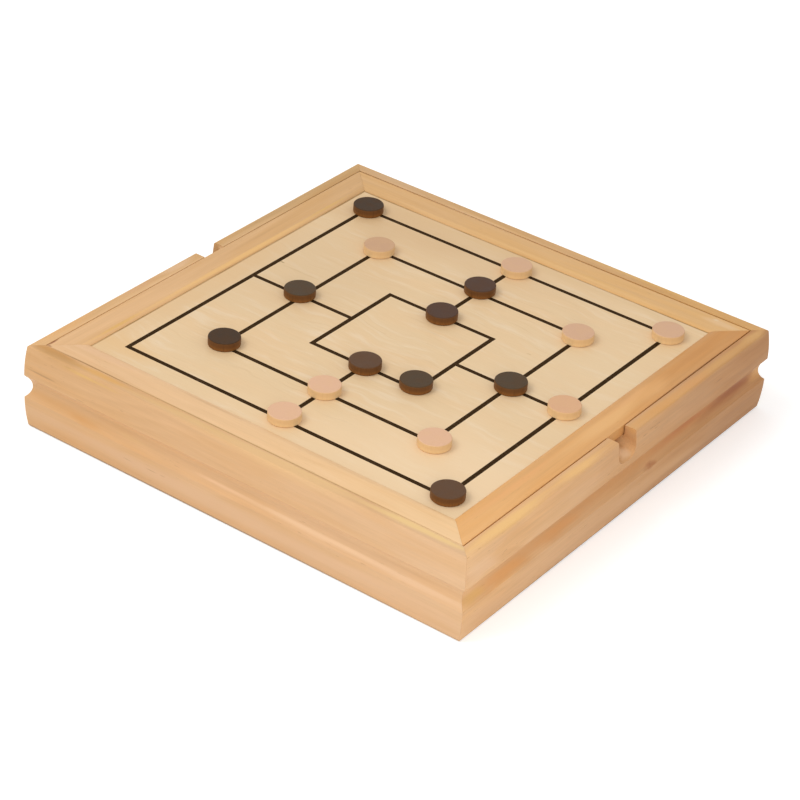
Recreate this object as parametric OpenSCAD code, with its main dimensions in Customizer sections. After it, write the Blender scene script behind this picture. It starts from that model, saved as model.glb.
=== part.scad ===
// Games compendium: a square wooden box with a framed morris board lying flush in its
// top, a second board below it, and trays that hold the chessmen, spare counters,
// dominoes and dice.
// The origin is the middle of the underside. +X runs along the front wall to the
// right, +Y to the back and +Z up. All sizes are in millimetres.

/* [Box] */
// Width and depth of the box over the lips of its groove
box_w = 298; // [290:1:340]
// Height of the box
box_h = 52.1; // [50:0.1:70]
// Thickness of a side wall below the rebate, measured from the groove's lips
wall_t = 17; // [14.5:0.5:20]
// Thickness of the rim that stands round the lift-out board
rim_t = 8.5; // [7:0.1:10]
// How far each outer face falls back between the groove and its edge
face_fall = 1.3; // [0.4:0.1:2]
// Rounding of the outer edges at the top and the underside
edge_r = 1.2; // [1:0.1:3]

/* [Groove round the box] */
// Width of the half-round groove
groove_w = 13.6; // [10:0.2:15]
// Depth of the half-round groove
groove_depth = 3.3; // [2:0.1:4]
// Rounding of the groove's lips
groove_lip_r = 0.8; // [0.3:0.1:1.2]

/* [Base] */
// Thickness of the base panel
base_t = 4; // [3:0.5:5]
// How far the base panel lies above the underside of the walls
base_recess = 1; // [0.5:0.1:2]
// How far the base panel reaches into each wall
base_seat = 4; // [2:0.5:6]

/* [Finger notches] */
// Width of a finger notch
notch_w = 17; // [16:0.5:24]
// Depth of a finger notch below the rim, at the wall's outer face
notch_depth = 15; // [14:0.5:17]
// Slope of a finger notch's floor, which falls to the outer face
notch_slope = 26; // [15:1:35]
// How far each notch is cut off the middle of its wall, to the left seen from outside
notch_shift = 1; // [0:0.1:2]
// Rounding at the bottom of a finger notch
notch_r = 5.5; // [3:0.5:7]

/* [Lift-out board] */
// Clearance between the centred board and the rim, on each side
board_gap = 0.5; // [0.4:0.1:1]
// How far the loose board has slid to the left within that clearance
board_left = 0.3; // [0:0.05:0.3]
// How far it has slid to the front
board_front = 0.3; // [0:0.05:0.3]
// How far the board lies below the rim's top
board_drop = 0.1; // [0:0.1:1]
// Thickness of the board's plywood panel
panel_t = 4; // [3:0.5:5]
// Width of the flat top of a frame strip
strip_flat = 13.3; // [11:0.1:14]
// Width of the rounded moulding inside the flat
strip_mould = 3.6; // [2:0.1:5]
// How far a strip stands above each face of the panel
strip_rise = 1.2; // [1:0.1:2.5]
// How far the panel reaches into the groove of a strip
strip_groove = 5; // [3:0.5:7]
// Rounding of a strip's outer edges
strip_edge_r = 0.4; // [0.3:0.1:1]
// Play of the panel's edge at the bottom of the strip's groove
panel_play = 0.2; // [0.1:0.1:0.5]

/* [Patterns on the boards] */
// Plain border from the outer square of the morris pattern to the frame's moulding
morris_margin = 15.5; // [12:0.5:40]
// Width of a line of the morris pattern
line_w = 2.8; // [1:0.1:3.5]
// How far the morris pattern is printed in front of the panel's middle
morris_front = 2.1; // [0:0.1:2.5]
// Plain border from the chess squares to the frame's moulding
chess_margin = 3.5; // [1:0.5:20]
// Light line between neighbouring dark chess squares
square_gap = 0.4; // [0.2:0.1:1]
// Depth of every inlay
inlay_t = 0.4; // [0.2:0.1:0.8]
// Height of a backgammon point
point_h = 104; // [80:1:110]
// Plain border round the backgammon points
point_border = 8; // [5:0.5:12]
// Width of the bar between the halves of the backgammon board
point_bar = 18; // [12:1:26]
// Gap between neighbouring backgammon points
point_gap = 0.6; // [0.3:0.1:1.5]

/* [Counters] */
// Diameter of a counter
counter_d = 18.4; // [16:0.2:24]
// Thickness of a counter
counter_t = 5.1; // [4:0.1:6]
// Rounding of a counter's edges
counter_r = 0.6; // [0.3:0.1:1.5]

/* [Second board and trays] */
// Thickness of the second board
inner_t = 4; // [3:0.5:5]
// Clearance between the second board and the walls, on each side
inner_gap = 0.5; // [0.3:0.1:1]
// Clearance between the second board and the lift-out board above it
inner_clear = 0.3; // [0.2:0.1:1]
// Thickness of a divider
divider_t = 5; // [3:0.5:6]
// Clearance of a stored piece to its floor
rest_gap = 0.2; // [0.1:0.1:0.4]
// Clearance between stored pieces that lie side by side
side_gap = 1.6; // [1:0.1:3]
// How many dominoes lie in a stack
tiles_per_stack = 4; // [4:1:5]

/* [Chessmen] */
// Height of a king
king_h = 58; // [50:1:60]
// Diameter of a king's or queen's foot
king_d = 21; // [18:0.5:23]
// Height of a queen
queen_h = 52; // [46:1:56]
// Height of a bishop
bishop_h = 45; // [40:1:50]
// Height of a knight
knight_h = 42; // [38:1:48]
// Height of a rook
rook_h = 36; // [32:1:42]
// Diameter of a bishop's, knight's or rook's foot
officer_d = 19; // [16:0.5:21]
// Height of a pawn
pawn_h = 30; // [26:1:32]
// Diameter of a pawn's foot
pawn_d = 16; // [14:0.5:18]

/* [Dominoes and dice] */
// Length of a domino
domino_l = 40; // [34:1:46]
// Thickness of a domino
domino_t = 6; // [5:0.5:8]
// Gap between the dominoes of a stack
domino_gap = 0.2; // [0.1:0.05:0.4]
// Diameter of a domino's pips
domino_pip_d = 2.8; // [2:0.1:3.6]
// Width of the bar across a domino
domino_bar_w = 1; // [0.6:0.1:1.6]
// Side of a die
die_w = 12; // [10:0.5:16]
// Diameter of a die's pips
die_pip_d = 2; // [1.4:0.1:2.6]

/* [Hidden] */
$fn = 48;
// A hair's overrun that lets a cut pass its face
eps = 0.5;

half_w = box_w / 2;
mid_z = box_h / 2;
rim_half = half_w - rim_t;
inside_half = half_w - wall_t;

// Groove: an arc whose lips are small arcs tangent to it and to the outer face
groove_r = (pow(groove_w / 2, 2) + pow(groove_depth, 2)) / (2 * groove_depth);
groove_x = half_w - groove_depth + groove_r;
lip_x = half_w - groove_lip_r;
lip_angle = acos((groove_x - lip_x) / (groove_r + groove_lip_r));
lip_z = mid_z + (groove_r + groove_lip_r) * sin(lip_angle);

// Outer face: one shallow arc above the groove, mirrored below it
crown_rise = box_h - edge_r - lip_z;
crown_r = (pow(crown_rise, 2) + pow(face_fall, 2)) / (2 * face_fall);
crown_angle = asin(crown_rise / crown_r);

// Lift-out board
strip_h = panel_t + 2 * strip_rise;
board_half = rim_half - board_gap;
board_top = box_h - board_drop;
ledge_z = board_top - strip_h;
panel_z = ledge_z + strip_rise;
panel_top = panel_z + panel_t;
panel_show = board_half - strip_flat - strip_mould;
panel_half = panel_show + strip_groove - panel_play;
morris_step = (panel_show - morris_margin) / 3;
square_w = (panel_show - chess_margin) / 4;

// Second board and trays
inner_half = inside_half - inner_gap;
inner_top = ledge_z - inner_clear;
inner_z = inner_top - inner_t;
floor_z = base_recess + base_t;
seat_half = inside_half + base_seat;
tray_h = inner_z - floor_z;

// From a wall to the middle lie a king, a pawn, a divider and half a domino, and the
// width that is left is shared by the four gaps between them
row_gap = (inside_half - king_h - pawn_h - divider_t - domino_l / 2) / 4;
centre_half = domino_l / 2 + row_gap;
divider_x = centre_half + divider_t / 2;
domino_w = domino_l / 2;
domino_end = -inside_half + ceil(28 / tiles_per_stack) * (domino_w + side_gap) + side_gap;
cross_y = domino_end + divider_t / 2;
bin_y = domino_end + divider_t;

// Height of the rim round a chessman's foot, and of a king's cross
foot_rim_h = 3;
cross_h = 8;

// Counters on the morris pattern, in steps from its middle, each a little off its point
// as a hand puts it down
DARK_SPOTS = [
    [-2.95, 2.97], [0, 2.06], [0.03, 0.98],
    [-2.05, 0], [2.03, 0.01], [-1.98, -1.94],
    [0.04, -1.02], [0.94, -0.93], [3.03, -2.99]
];
LIGHT_SPOTS = [
    [0.07, 2.99], [3.01, 2.94], [-1.98, 1.99], [1.99, 1.91],
    [3.01, 0.01], [0.01, -1.98], [2.09, -2.03], [0.03, -2.96]
];
men_per_side = 15;

// Names of the nodes
MEN = ["king", "queen", "bishops", "knights", "rooks", "pawns"];
DARK_NODES = [for (i = [1:len(DARK_SPOTS)]) str("dark_counter_", i)];
LIGHT_NODES = [for (i = [1:len(LIGHT_SPOTS)]) str("light_counter_", i)];

// Points along an arc of n steps
function arc(cx, cy, r, from, to, n) = [
    for (i = [0:n])
        let (a = from + (to - from) * i / n)
        [cx + r * cos(a), cy + r * sin(a)]
];

function mirrored(points, z) = [
    for (i = [len(points) - 1:-1:0])
        [points[i].x, 2 * z - points[i].y]
];

// Outer outline of a wall's upper half, from the groove's bottom to the rim
function wall_upper() = concat(
    arc(groove_x, mid_z, groove_r, 180, 180 - lip_angle, 6),
    arc(lip_x, lip_z, groove_lip_r, -lip_angle * 2 / 3, 0, 2),
    arc(half_w - crown_r, lip_z, crown_r, crown_angle / 6, crown_angle * 5 / 6, 4),
    arc(half_w - face_fall - edge_r, box_h - edge_r, edge_r, crown_angle, 90, 5)
);

// Section of a wall: x is the distance from the middle of the box, y the height
module wall_section() {
    upper = wall_upper();
    polygon(concat(
        mirrored(upper, mid_z),
        [for (i = [1:len(upper) - 1]) upper[i]],
        [
            [rim_half, box_h],
            [rim_half, ledge_z],
            [inside_half, ledge_z],
            [inside_half, floor_z],
            [seat_half, floor_z],
            [seat_half, 0]
        ]
    ));
}

// Section of a frame strip, with a groove for the panel and alike on both faces
module strip_section() {
    strip_mid = ledge_z + strip_h / 2;
    flat_end = board_half - strip_flat;
    upper = concat(
        arc(board_half - strip_edge_r, board_top - strip_edge_r, strip_edge_r, 0, 90, 4),
        [
            for (a = [0:15:90])
                [flat_end - strip_mould * sin(a), board_top - strip_rise * (1 - cos(a))]
        ],
        [[panel_show + strip_groove, panel_top]]
    );
    polygon(concat(upper, mirrored(upper, strip_mid)));
}

// A section laid along the front side and cut to a mitre at both ends
module mitred_side() {
    intersection() {
        rotate([90, 0, -90]) linear_extrude(box_w + 2 * eps, center = true) children();
        linear_extrude(box_h) polygon([[-box_w, -box_w], [box_w, -box_w], [0, 0]]);
    }
}

// Section of a finger notch above its floor: straight sides and round corners
module notch_section() {
    corner_x = notch_w / 2 - notch_r;
    translate([-notch_w / 2, notch_r]) square([notch_w, 2 * notch_depth]);
    translate([-corner_x, 0]) square([2 * corner_x, 2 * notch_depth]);
    for (side = [-1, 1]) {
        translate([side * corner_x, notch_r]) circle(notch_r);
    }
}

module plain_wall() {
    mitred_side() wall_section();
}

module notched_wall() {
    difference() {
        plain_wall();
        translate([-notch_shift, -half_w, box_h - notch_depth]) rotate([90 + notch_slope, 0, 0])
            linear_extrude(4 * wall_t, center = true) notch_section();
    }
}

module base_panel() {
    color("burlywood") translate([-seat_half, -seat_half, base_recess])
        cube([2 * seat_half, 2 * seat_half, base_t]);
}

// A divider that stands on the base and carries the second board
module long_divider(x) {
    color("burlywood") translate([x - divider_t / 2, -inside_half, floor_z])
        cube([divider_t, 2 * inside_half, tray_h]);
}

module cross_divider() {
    color("burlywood") translate([-centre_half, cross_y - divider_t / 2, floor_z])
        cube([2 * centre_half, divider_t, tray_h]);
}

module square_outline(half) {
    difference() {
        square(2 * half + line_w, center = true);
        square(2 * half - line_w, center = true);
    }
}

// Three squares one inside the other, joined at the middles of their sides
module morris_pattern() {
    for (ring = [1:3]) {
        square_outline(ring * morris_step);
    }
    for (turn = [0:90:270]) {
        rotate(turn) translate([-line_w / 2, morris_step]) square([line_w, 2 * morris_step]);
    }
}

module chess_pattern() {
    dark = square_w - square_gap;
    for (i = [0:7], j = [0:7]) {
        if ((i + j) % 2 == 0) {
            translate([(i - 3.5) * square_w, (j - 3.5) * square_w]) square(dark, center = true);
        }
    }
}

// Everything on the lift-out board shares the board's place in its rebate
module on_board(z = 0) {
    translate([-board_left, -board_front, z]) children();
}

// And everything on the morris pattern shares the pattern's place on the panel
module on_pattern(z) {
    on_board(z) translate([0, -morris_front, 0]) children();
}

module morris_lines() {
    color("#2a201c") on_pattern(panel_top - inlay_t) linear_extrude(inlay_t) morris_pattern();
}

module chess_squares() {
    color("#6b4a33") on_board(panel_z) linear_extrude(inlay_t) chess_pattern();
}

module morris_panel() {
    color("wheat") difference() {
        on_board(panel_z) translate([-panel_half, -panel_half, 0])
            cube([2 * panel_half, 2 * panel_half, panel_t]);
        on_pattern(panel_top - inlay_t) linear_extrude(inlay_t + eps) morris_pattern();
        on_board(panel_z - eps) linear_extrude(inlay_t + eps) chess_pattern();
    }
}

// One mitred strip of the frame, turned from the front to its own side
module frame_strip(turn) {
    on_board() rotate(turn) mitred_side() strip_section();
}

// One colour of backgammon points: parity 0 or 1 picks every other one
module point_pattern(parity) {
    half_field = inner_half - point_border - point_bar / 2;
    point_w = half_field / 6;
    base_half = (point_w - point_gap) / 2;
    for (side = [-1, 1], half = [-1, 1], i = [0:5]) {
        if ((i + (side + half) / 2 + 1) % 2 == parity) {
            x = half * (point_bar / 2 + (i + 0.5) * point_w);
            y = side * (inner_half - point_border);
            polygon([[x - base_half, y], [x + base_half, y], [x, y - side * point_h]]);
        }
    }
}

module backgammon_points(parity) {
    translate([0, 0, inner_top - inlay_t]) linear_extrude(inlay_t) point_pattern(parity);
}

module backgammon_panel() {
    color("wheat") difference() {
        translate([-inner_half, -inner_half, inner_z])
            cube([2 * inner_half, 2 * inner_half, inner_t]);
        translate([0, 0, inner_top - inlay_t]) linear_extrude(inlay_t + eps) {
            point_pattern(0);
            point_pattern(1);
        }
    }
}

// A turned disc with eased edges, standing on z = 0
module counter() {
    flat_r = counter_d / 2 - counter_r;
    rotate_extrude() polygon(concat(
        [[0, 0]],
        arc(flat_r, counter_r, counter_r, -90, 0, 3),
        arc(flat_r, counter_t - counter_r, counter_r, 0, 90, 3),
        [[0, counter_t]]
    ));
}

module placed_counter(spot) {
    on_pattern(panel_top) translate([spot.x * morris_step, spot.y * morris_step, 0]) counter();
}

// Spare counters stand in stacks in the tray behind the dominoes
stack_pitch = counter_t + domino_gap;
stack_max = floor((tray_h - rest_gap) / stack_pitch);

module spare_counters(count, side) {
    for (i = [0:count - 1]) {
        stack = floor(i / stack_max);
        translate([
            side * (centre_half - side_gap - counter_d / 2),
            inside_half - side_gap - counter_d / 2 - stack * (counter_d + side_gap),
            floor_z + rest_gap + (i % stack_max) * stack_pitch
        ]) counter();
    }
}

// Turned foot that every chessman has: two steps and a waist
function foot(r, h) = [
    [0, 0],
    [r - foot_rim_h * 0.25, 0],
    [r, foot_rim_h * 0.25],
    [r, foot_rim_h],
    [r - foot_rim_h * 0.4, foot_rim_h * 1.4],
    [r * 0.78, foot_rim_h * 1.6],
    [r * 0.78, foot_rim_h * 2],
    [r * 0.55, foot_rim_h * 2.6],
    [r * 0.42, h * 0.32]
];

function ball(r, z, from) = arc(0, z, r, from, 90, 8);

module pawn() {
    r = pawn_d / 2;
    ball_r = r * 0.62;
    rotate_extrude() polygon(concat(
        foot(r, pawn_h),
        [
            [r * 0.34, pawn_h * 0.55],
            [r * 0.62, pawn_h * 0.58],
            [r * 0.62, pawn_h * 0.62]
        ],
        ball(ball_r, pawn_h - ball_r, -50)
    ));
}

module rook() {
    r = officer_d / 2;
    rim_r = r * 0.72;
    difference() {
        rotate_extrude() polygon(concat(
            foot(r, rook_h),
            [
                [r * 0.46, rook_h * 0.7],
                [rim_r, rook_h * 0.74],
                [rim_r, rook_h],
                [rim_r * 0.62, rook_h],
                [rim_r * 0.62, rook_h - 4],
                [0, rook_h - 4]
            ]
        ));
        for (turn = [0, 60, 120]) {
            rotate(turn) translate([0, 0, rook_h - 1]) cube([3 * rim_r, 2, 4], center = true);
        }
    }
}

module bishop() {
    r = officer_d / 2;
    tip_r = 1.7;
    difference() {
        rotate_extrude() polygon(concat(
            foot(r, bishop_h),
            [
                [r * 0.3, bishop_h * 0.56],
                [r * 0.62, bishop_h * 0.6],
                [r * 0.62, bishop_h * 0.63],
                [r * 0.36, bishop_h * 0.66],
                [r * 0.54, bishop_h * 0.74],
                [r * 0.52, bishop_h * 0.8],
                [r * 0.36, bishop_h * 0.88],
                [1, bishop_h - 2 * tip_r - 0.3]
            ],
            ball(tip_r, bishop_h - tip_r, -55)
        ));
        translate([r * 0.45, 0, bishop_h * 0.84]) rotate([0, 35, 0]) cube([r, 3 * r, 1.2], center = true);
    }
}

module queen() {
    r = king_d / 2;
    crown_r = r * 0.62;
    tip_r = 1.8;
    crown_z = queen_h - 2 * tip_r;
    difference() {
        rotate_extrude() polygon(concat(
            foot(r, queen_h),
            [
                [r * 0.3, queen_h * 0.62],
                [r * 0.58, queen_h * 0.66],
                [r * 0.58, queen_h * 0.69],
                [r * 0.34, queen_h * 0.72],
                [crown_r, crown_z],
                [crown_r * 0.75, crown_z],
                [crown_r * 0.3, crown_z - 0.8]
            ],
            ball(tip_r, queen_h - tip_r, -70)
        ));
        for (turn = [0:45:315]) {
            rotate(turn) translate([crown_r, 0, crown_z]) sphere(1.3);
        }
    }
}

module king() {
    r = king_d / 2;
    cross_w = cross_h * 0.275;
    cross_arm = cross_h * 0.8;
    crown_z = king_h - cross_h;
    rotate_extrude() polygon(concat(
        foot(r, king_h),
        [
            [r * 0.3, king_h * 0.6],
            [r * 0.6, king_h * 0.64],
            [r * 0.6, king_h * 0.67],
            [r * 0.36, king_h * 0.7],
            [r * 0.6, crown_z - cross_h / 4],
            [r * 0.5, crown_z],
            [0, crown_z + cross_h / 8]
        ]
    ));
    translate([-cross_w / 2, -cross_w / 2, crown_z]) cube([cross_w, cross_w, cross_h]);
    translate([-cross_w / 2, -cross_arm / 2, king_h - cross_h * 0.62])
        cube([cross_w, cross_arm, cross_w]);
}

// A horse's head sawn from a board, on a turned foot
module knight() {
    r = officer_d / 2;
    head_t = r * 0.9;
    rotate_extrude() polygon(concat(
        foot(r, knight_h * 0.9),
        [[r * 0.62, knight_h * 0.3], [r * 0.62, knight_h * 0.34], [0, knight_h * 0.34]]
    ));
    rotate([90, 0, 0]) linear_extrude(head_t, center = true) polygon([
        [-r * 0.58, knight_h * 0.32],
        [r * 0.5, knight_h * 0.32],
        [r * 0.34, knight_h * 0.46],
        [r * 0.12, knight_h * 0.58],
        [r * 0.42, knight_h * 0.6],
        [r * 0.74, knight_h * 0.56],
        [r * 0.88, knight_h * 0.63],
        [r * 0.8, knight_h * 0.72],
        [r * 0.4, knight_h * 0.86],
        [r * 0.24, knight_h * 0.93],
        [r * 0.06, knight_h],
        [-r * 0.08, knight_h * 0.94],
        [-r * 0.42, knight_h * 0.84],
        [-r * 0.68, knight_h * 0.66],
        [-r * 0.7, knight_h * 0.48]
    ]);
}

module chessman(kind) {
    if (kind == "king") king();
    if (kind == "queen") queen();
    if (kind == "bishops") bishop();
    if (kind == "knights") knight();
    if (kind == "rooks") rook();
    if (kind == "pawns") pawn();
}

function man_h(kind) =
    kind == "king" ? king_h :
    kind == "queen" ? queen_h :
    kind == "bishops" ? bishop_h :
    kind == "knights" ? knight_h :
    kind == "rooks" ? rook_h : pawn_h;

function foot_r(kind) =
    kind == "king" || kind == "queen" ? king_d / 2 :
    kind == "pawns" ? pawn_d / 2 : officer_d / 2;

// How far each man's head stands from its axis on the side that it lies on
function head_r(kind) =
    kind == "king" ? foot_r(kind) * 0.6 :
    kind == "queen" ? foot_r(kind) * 0.62 :
    kind == "bishops" ? foot_r(kind) * 0.62 :
    kind == "knights" ? foot_r(kind) * 0.45 :
    kind == "rooks" ? foot_r(kind) * 0.72 : foot_r(kind) * 0.62;

// Height on the man at which that head width touches the floor
function head_z(kind) =
    kind == "king" ? king_h - cross_h * 1.25 :
    kind == "queen" ? queen_h - 3.6 :
    kind == "bishops" ? bishop_h * 0.63 :
    kind == "knights" ? knight_h :
    kind == "rooks" ? rook_h : pawn_h - foot_r(kind) * 0.62;

// A man lying on the rim of its foot and on its head, its foot towards the wall
module lying_man(kind) {
    tip = atan2(foot_r(kind) - head_r(kind), head_z(kind) - foot_rim_h);
    lift = foot_rim_h * sin(tip) + foot_r(kind) * cos(tip);
    translate([foot_r(kind) * sin(tip), 0, floor_z + rest_gap + lift])
        rotate([0, 90 + tip, 0]) rotate(kind == "knights" ? 90 : 0) chessman(kind);
}

// Order of the officers along a tray, from its front end
OFFICERS = ["rooks", "knights", "bishops", "queen", "king", "bishops", "knights", "rooks"];

function officer_y(i) =
    i == 0
        ? -inside_half + side_gap + foot_r(OFFICERS[0])
        : officer_y(i - 1) + foot_r(OFFICERS[i - 1]) + side_gap + foot_r(OFFICERS[i]);

// The men of one kind in the tray on the given side: -1 left, 1 right
module stored_men(kind, side) {
    mirror([side > 0 ? 1 : 0, 0, 0]) {
        if (kind == "pawns") {
            for (i = [0:7]) {
                translate([
                    -inside_half + 2 * row_gap + king_h,
                    -inside_half + side_gap + pawn_d / 2 + i * (pawn_d + side_gap),
                    0
                ]) lying_man(kind);
            }
        } else {
            for (i = [0:7]) {
                if (OFFICERS[i] == kind) {
                    translate([-inside_half + row_gap, officer_y(i), 0]) lying_man(kind);
                }
            }
        }
    }
}

// The tiles of a double-six set, as pairs of pip counts
DOMINOES = [for (a = [0:6], b = [0:6]) if (a <= b) [a, b]];

// Places of n pips on a grid of three by three
function pip_spots(n) = concat(
    n % 2 == 1 ? [[0, 0]] : [],
    n >= 2 ? [[-1, 1], [1, -1]] : [],
    n >= 4 ? [[-1, -1], [1, 1]] : [],
    n == 6 ? [[-1, 0], [1, 0]] : []
);

module tile_place(i) {
    stack = floor(i / tiles_per_stack);
    translate([
        0,
        -inside_half + side_gap + domino_w / 2 + stack * (domino_w + side_gap),
        floor_z + rest_gap + (i % tiles_per_stack) * (domino_t + domino_gap)
    ]) children();
}

module pips(n, pitch, d, depth) {
    for (spot = pip_spots(n)) {
        translate([spot.x * pitch, spot.y * pitch, 0]) cylinder(h = depth, d = d);
    }
}

// Pips and bar of one tile, sunk by the inlay's depth into its top face
module tile_marks(i, depth) {
    pip_pitch = domino_w * 0.28;
    tile_place(i) translate([0, 0, domino_t - inlay_t]) {
        translate([-domino_w / 2, 0, 0]) pips(DOMINOES[i][0], pip_pitch, domino_pip_d, depth);
        translate([domino_w / 2, 0, 0]) pips(DOMINOES[i][1], pip_pitch, domino_pip_d, depth);
        translate([-domino_bar_w / 2, -domino_w * 0.4, 0])
            cube([domino_bar_w, domino_w * 0.8, depth]);
    }
}

module domino_tiles() {
    color("#3a2a22") for (i = [0:len(DOMINOES) - 1]) {
        difference() {
            tile_place(i) translate([-domino_l / 2, -domino_w / 2, 0])
                cube([domino_l, domino_w, domino_t]);
            tile_marks(i, inlay_t + eps);
        }
    }
}

module domino_marks() {
    color("ivory") for (i = [0:len(DOMINOES) - 1]) {
        tile_marks(i, inlay_t);
    }
}

// Two dice stand side by side in the tray behind the dominoes
module die_place(i) {
    translate([
        (i - 0.5) * (die_w + side_gap),
        bin_y + side_gap + die_w / 2,
        floor_z + rest_gap + die_w / 2
    ]) children();
}

// Turns that bring each face of a die to the top, with its number of pips
DIE_FACES = [
    [[0, 0, 0], 1], [[180, 0, 0], 6], [[90, 0, 0], 2],
    [[-90, 0, 0], 5], [[0, 90, 0], 3], [[0, -90, 0], 4]
];

module die_marks(depth) {
    for (face = DIE_FACES) {
        rotate(face[0]) translate([0, 0, die_w / 2 - inlay_t])
            pips(face[1], die_w * 0.25, die_pip_d, depth);
    }
}

module dice() {
    color("ivory") for (i = [0, 1]) {
        die_place(i) difference() {
            intersection() {
                cube(die_w, center = true);
                sphere(die_w * 0.72);
            }
            die_marks(inlay_t + eps);
        }
    }
}

module dice_pips() {
    color("#2a201c") for (i = [0, 1]) {
        die_place(i) die_marks(inlay_t);
    }
}

color("burlywood") plain_wall();  // front_wall
color("tan") rotate(90) notched_wall();  // right_wall
color("burlywood") rotate(180) plain_wall();  // back_wall
color("tan") rotate(270) notched_wall();  // left_wall
base_panel();
long_divider(-divider_x);  // left_divider
long_divider(divider_x);  // right_divider
cross_divider();
morris_panel();
morris_lines();
chess_squares();
color("navajowhite") frame_strip(0);  // board_frame_front
color("sandybrown") frame_strip(90);  // board_frame_right
color("navajowhite") frame_strip(180);  // board_frame_back
color("sandybrown") frame_strip(270);  // board_frame_left
for (i = [0:len(DARK_SPOTS) - 1]) {
    color("#54402f") placed_counter(DARK_SPOTS[i]);
}
for (i = [0:len(LIGHT_SPOTS) - 1]) {
    color("#e2b48c") placed_counter(LIGHT_SPOTS[i]);
}
backgammon_panel();
color("#6b4a33") backgammon_points(0);  // backgammon_dark_points
color("#c98f5a") backgammon_points(1);  // backgammon_light_points
union() {  // spare_dark_counters
    color("#54402f") spare_counters(men_per_side - len(DARK_SPOTS), -1);
}
union() {  // spare_light_counters
    color("#e2b48c") spare_counters(men_per_side - len(LIGHT_SPOTS), 1);
}
for (man = MEN) {
    color("#54402f") stored_men(man, -1);
    color("#e2b48c") stored_men(man, 1);
}
domino_tiles();
domino_marks();
dice();
dice_pips();
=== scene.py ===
"""Looks of a wooden games compendium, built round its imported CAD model.

Every piece is a CAD piece. This script gives each one its material, eases its edges for
shading, and sets up the floor, the light and the camera. Objects, lamps and the camera
are placed in metres. The materials work in millimetres in the part's own frame, with x
to the right, y to the back and z up from the underside. Colours are linear.
"""

import math

import bpy
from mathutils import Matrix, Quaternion, Vector


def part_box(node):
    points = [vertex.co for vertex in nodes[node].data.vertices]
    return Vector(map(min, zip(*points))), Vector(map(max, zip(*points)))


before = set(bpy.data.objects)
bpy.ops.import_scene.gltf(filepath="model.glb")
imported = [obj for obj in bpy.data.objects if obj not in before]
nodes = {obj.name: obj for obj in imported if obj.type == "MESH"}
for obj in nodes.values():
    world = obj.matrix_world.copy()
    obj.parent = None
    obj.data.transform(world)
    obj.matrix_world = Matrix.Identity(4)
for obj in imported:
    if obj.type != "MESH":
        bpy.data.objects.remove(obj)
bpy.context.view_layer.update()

MM = 0.001
BLACK = (0.0, 0.0, 0.0)
WHITE = (1.0, 1.0, 1.0)

# Places of a Mix node's colour sockets, which share their names with others
MIX_A = 6
MIX_B = 7
MIX_RESULT = 2

# Camera, found from the squares of the morris pattern in the photograph
CAMERA_PLACE = (0.71893, -1.04432, 0.81551)
CAMERA_AIM = (0.013, -0.02029, 0.026)
CAMERA_ROLL = math.radians(4.22)
CAMERA_LENS = 119.69
CAMERA_SENSOR = 36.0

# Light: an even white sky, one large soft lamp from the front left and a weak low one
SKY_SEEN = 1.0
SKY_ON_OBJECT = 0.70
LAMPS = [
    # Place, width of the square, watts
    ((-0.77, -0.99, 1.80), 1.1, 14.5),
    ((0.50, -0.55, 0.30), 0.4, 1.17),
]
LAMPS_AIM = (0.0, 0.0, 0.03)

# Floor: its tone, and the light that lifts it to white where no shadow falls
FLOOR_TONE = 0.90
FLOOR_LIFT = 0.35
FLOOR_HALF = 12.0

# Edges: the gap that is welded, and the angles below which an edge is flat and above
# which it is hard
WELD_GAP = 0.002
FLAT_ANGLE = math.radians(0.5)
HARD_ANGLE = math.radians(38)

# Rounding of the hard edges of each kind of piece
PLANK_EDGE = 0.15
DIVIDER_EDGE = 0.3
CHESSMAN_EDGE = 0.12
DOMINO_EDGE = 0.25
DIE_EDGE = 0.2

# Sizes that the materials follow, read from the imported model
box_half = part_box("front_wall")[1].x / MM
panel_low, panel_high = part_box("morris_panel")
panel_top = panel_high.z / MM
panel_middle = (panel_low + panel_high) / 2 / MM
counter_low, counter_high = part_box("dark_counter_1")
counter_t = (counter_high.z - counter_low.z) / MM

# Half the side of the square of the panel that shows between the mouldings
PANEL_SEEN = 123.1

# How strongly bare timber reflects, and the thickness of a ply
TIMBER_LEVEL = 0.25
PLY_T = 2.0

# Added to the place across the grain and upwards, so that the pith lies outside a plank
PITH_ACROSS = 70.0
PITH_UP = 45.0

# How far each seed moves a plank or a counter through the noises, and how far the pale
# patches are moved from the warm ones
PLANK_STEP = (173.0, 61.0, 37.0)
PALE_STEP = (311.0, 47.0, 29.0)
COUNTER_STEP = (19.0, 31.0, 0.0)

# The painted contact shadow along the foot of a wall, and the resin dashes, as marks without a place
FOOT_SHADOW = ((600, 3.8), 0.75, (0.12, 0.08, 0.06))
DASH_W = 0.9
DASH_TONE = (0.34, 0.18, 0.09)

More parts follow.
